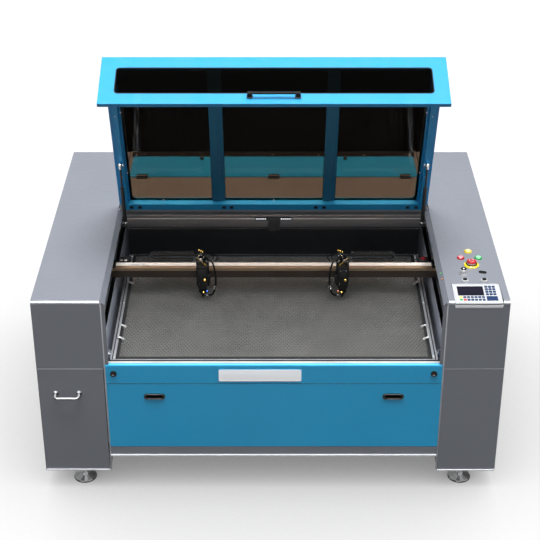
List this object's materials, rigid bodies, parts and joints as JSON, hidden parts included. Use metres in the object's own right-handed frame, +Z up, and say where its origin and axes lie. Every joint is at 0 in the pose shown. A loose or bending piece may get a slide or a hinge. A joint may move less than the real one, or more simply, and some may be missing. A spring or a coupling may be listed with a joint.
{
  "type": "flatbed laser engraver",
  "caption": "Flatbed laser engraver cabinet with side wings, gas-strut lid standing open, lifting honeycomb bed, travelling gantry with laser heads, front panels, drawer and control panel.",
  "frame": {"origin": "on the floor, below the middle of the cabinet", "axes": "+X to the right of a person standing at the front, +Y to the back of the machine, +Z up"},
  "size_m": [1.86, 1.4828, 1.6951],
  "materials": {
    "frame_steel": "satin",
    "foot_steel": "polished",
    "cabinet_grey": "satin powder coat",
    "cabinet_dark_grey": "satin powder coat",
    "interior_dark": "matte powder coat",
    "bright_steel": "brushed",
    "black_plastic": "matte",
    "tube_glass": "clear",
    "panel_blue": "satin powder coat",
    "aluminium": "anodised",
    "chrome_trim": "polished",
    "smoked_acrylic": "smoked, glossy",
    "strut_black": "gloss",
    "honeycomb": "bare",
    "beam_aluminium": "anodised",
    "anodised_black": "black anodised",
    "bezel_white": "satin",
    "screen_navy": "glossy",
    "button_yellow": "satin",
    "button_red": "satin",
    "button_green": "satin"
  },
  "bodies": {
    "cabinet": {"base_frame": "frame_steel", "foot_front_left": "foot_steel", "foot_front_right": "foot_steel", "foot_rear_left": "foot_steel", "foot_rear_right": "foot_steel", "left_wing_shell": "cabinet_grey", "right_wing_shell": "cabinet_grey", "left_inner_wall": "cabinet_grey", "right_inner_wall": "cabinet_grey", "rear_panel": "cabinet_grey", "front_plinth": "cabinet_dark_grey", "rear_housing": "interior_dark", "bulkhead": "interior_dark", "lid_hinge_rod": "bright_steel", "left_y_rail": "bright_steel", "right_y_rail": "bright_steel", "exhaust_duct": "black_plastic", "tube_cradle": "black_plastic", "laser_tube_front": "tube_glass", "laser_tube_rear": "tube_glass", "front_sill": "aluminium", "control_panel_bezel": "bezel_white", "lcd_screen": "screen_navy", "estop_collar": "button_yellow"},
    "lid": {"lid_shell": "panel_blue", "lid_window_left": "smoked_acrylic", "lid_window_centre": "smoked_acrylic", "lid_window_right": "smoked_acrylic", "lid_front_window": "smoked_acrylic", "lid_handle": "black_plastic"},
    "left_strut_tube": {"left_strut_cylinder": "strut_black"},
    "right_strut_tube": {"right_strut_cylinder": "strut_black"},
    "left_strut_piston": {"left_strut_rod": "bright_steel"},
    "right_strut_piston": {"right_strut_rod": "bright_steel"},
    "tube_bay_cover": {"tube_cover": "panel_blue"},
    "access_panel": {"front_access_panel": "panel_blue"},
    "lock_left": {"left_lock": "black_plastic"},
    "lock_right": {"right_lock": "black_plastic"},
    "lower_door": {"front_lower_door": "panel_blue", "left_door_pull": "black_plastic", "right_door_pull": "black_plastic"},
    "drawer": {"drawer_box": "cabinet_dark_grey", "drawer_handle": "chrome_trim"},
    "bed": {"bed_frame": "aluminium", "honeycomb_panel": "honeycomb"},
    "screw_front_left": {"leadscrew_front_left": "bright_steel"},
    "screw_rear_left": {"leadscrew_rear_left": "bright_steel"},
    "screw_front_right": {"leadscrew_front_right": "bright_steel"},
    "screw_rear_right": {"leadscrew_rear_right": "bright_steel"},
    "gantry": {"x_beam": "beam_aluminium"},
    "drive_shaft": {"y_drive_shaft": "bright_steel"},
    "head_left": {"left_head_carriage": "anodised_black"},
    "head_right": {"right_head_carriage": "anodised_black"},
    "lens_left": {"left_lens_tube": "anodised_black"},
    "lens_right": {"right_lens_tube": "anodised_black"},
    "button_yellow": {"yellow_button": "button_yellow"},
    "button_red": {"red_button": "button_red"},
    "button_green": {"green_button": "button_green"},
    "emergency_stop": {"estop_button": "button_red"},
    "key": {"key_switch": "chrome_trim"}
  },
  "joints": [
    {"name": "lid_hinge", "type": "hinge", "parent": "cabinet", "child": "lid", "pos_m": [0, 0.13, 0.899], "axis": [1, 0, 0], "range_deg": [0, 69.3]},
    {"name": "left_strut_pivot", "type": "hinge", "parent": "cabinet", "child": "left_strut_tube", "pos_m": [-0.632, 0.064, 0.845], "axis": [1, 0, 0], "range_deg": [0, 73.23]},
    {"name": "right_strut_pivot", "type": "hinge", "parent": "cabinet", "child": "right_strut_tube", "pos_m": [0.661, 0.064, 0.845], "axis": [1, 0, 0], "range_deg": [0, 73.23]},
    {"name": "left_strut_stroke", "type": "slide", "parent": "left_strut_tube", "child": "left_strut_piston", "axis": [0, -0.2372, 0.9715], "range_m": [-0.09528, 0]},
    {"name": "right_strut_stroke", "type": "slide", "parent": "right_strut_tube", "child": "right_strut_piston", "axis": [0, -0.2372, 0.9715], "range_m": [-0.09528, 0]},
    {"name": "tube_cover_hinge", "type": "hinge", "parent": "cabinet", "child": "tube_bay_cover", "pos_m": [0, 0.417, 0.8995], "axis": [1, 0, 0], "range_deg": [0, 100]},
    {"name": "access_panel_hinge", "type": "hinge", "parent": "cabinet", "child": "access_panel", "pos_m": [0, -0.699, 0.515], "axis": [1, 0, 0], "range_deg": [0, 90]},
    {"name": "left_lock_turn", "type": "hinge", "parent": "access_panel", "child": "lock_left", "pos_m": [-0.626, -0.69, 0.563], "axis": [0, 1, 0], "range_deg": [-90, 0]},
    {"name": "right_lock_turn", "type": "hinge", "parent": "access_panel", "child": "lock_right", "pos_m": [0.652, -0.69, 0.563], "axis": [0, 1, 0], "range_deg": [0, 90]},
    {"name": "lower_door_hinge", "type": "hinge", "parent": "cabinet", "child": "lower_door", "pos_m": [0, -0.699, 0.205], "axis": [1, 0, 0], "range_deg": [0, 90]},
    {"name": "drawer_slide", "type": "slide", "parent": "cabinet", "child": "drawer", "axis": [0, -1, 0], "range_m": [0, 0.34]},
    {"name": "bed_lift", "type": "slide", "parent": "cabinet", "child": "bed", "axis": [0, 0, 1], "range_m": [-0.25, 0]},
    {"name": "screw_front_left_turn", "type": "hinge", "parent": "cabinet", "child": "screw_front_left", "pos_m": [-0.651, -0.6, 0.4], "axis": [0, 0, 1], "continuous": true},
    {"name": "screw_rear_left_turn", "type": "hinge", "parent": "cabinet", "child": "screw_rear_left", "pos_m": [-0.651, 0.14, 0.4], "axis": [0, 0, 1], "continuous": true},
    {"name": "screw_front_right_turn", "type": "hinge", "parent": "cabinet", "child": "screw_front_right", "pos_m": [0.68, -0.6, 0.4], "axis": [0, 0, 1], "continuous": true},
    {"name": "screw_rear_right_turn", "type": "hinge", "parent": "cabinet", "child": "screw_rear_right", "pos_m": [0.68, 0.14, 0.4], "axis": [0, 0, 1], "continuous": true},
    {"name": "gantry_travel", "type": "slide", "parent": "cabinet", "child": "gantry", "axis": [0, 1, 0], "range_m": [-0.43, 0.36]},
    {"name": "drive_shaft_turn", "type": "hinge", "parent": "cabinet", "child": "drive_shaft", "pos_m": [0, 0.373, 0.707], "axis": [1, 0, 0], "continuous": true},
    {"name": "left_head_travel", "type": "slide", "parent": "gantry", "child": "head_left", "axis": [1, 0, 0], "range_m": [-0.33, 0.22]},
    {"name": "right_head_travel", "type": "slide", "parent": "gantry", "child": "head_right", "axis": [1, 0, 0], "range_m": [-0.22, 0.33]},
    {"name": "left_lens_focus", "type": "slide", "parent": "head_left", "child": "lens_left", "axis": [0, 0, 1], "range_m": [-0.01, 0.015]},
    {"name": "right_lens_focus", "type": "slide", "parent": "head_right", "child": "lens_right", "axis": [0, 0, 1], "range_m": [-0.01, 0.015]},
    {"name": "yellow_button_press", "type": "slide", "parent": "cabinet", "child": "button_yellow", "axis": [0, 0, -1], "range_m": [0, 0.004], "stiffness_N_per_m": 400},
    {"name": "red_button_press", "type": "slide", "parent": "cabinet", "child": "button_red", "axis": [0, 0, -1], "range_m": [0, 0.004], "stiffness_N_per_m": 400},
    {"name": "green_button_press", "type": "slide", "parent": "cabinet", "child": "button_green", "axis": [0, 0, -1], "range_m": [0, 0.004], "stiffness_N_per_m": 400},
    {"name": "estop_press", "type": "slide", "parent": "cabinet", "child": "emergency_stop", "axis": [0, 0, -1], "range_m": [0, 0.004], "stiffness_N_per_m": 600},
    {"name": "key_turn", "type": "hinge", "parent": "cabinet", "child": "key", "pos_m": [0.772, -0.483, 0.9], "axis": [0, 0, -1], "range_deg": [0, 90]}
  ],
  "couplings": [
    {"joint": "left_strut_pivot", "follows": "lid_hinge", "ratio": 1.0565},
    {"joint": "right_strut_pivot", "follows": "lid_hinge", "ratio": 1.0565},
    {"joint": "left_strut_stroke", "follows": "lid_hinge", "m_per_rad": -0.078735},
    {"joint": "right_strut_stroke", "follows": "lid_hinge", "m_per_rad": -0.078735},
    {"joint": "screw_front_left_turn", "follows": "bed_lift", "rad_per_m": 628.32},
    {"joint": "screw_rear_left_turn", "follows": "bed_lift", "rad_per_m": 628.32},
    {"joint": "screw_front_right_turn", "follows": "bed_lift", "rad_per_m": 628.32},
    {"joint": "screw_rear_right_turn", "follows": "bed_lift", "rad_per_m": 628.32},
    {"joint": "drive_shaft_turn", "follows": "gantry_travel", "rad_per_m": -62.5}
  ]
}
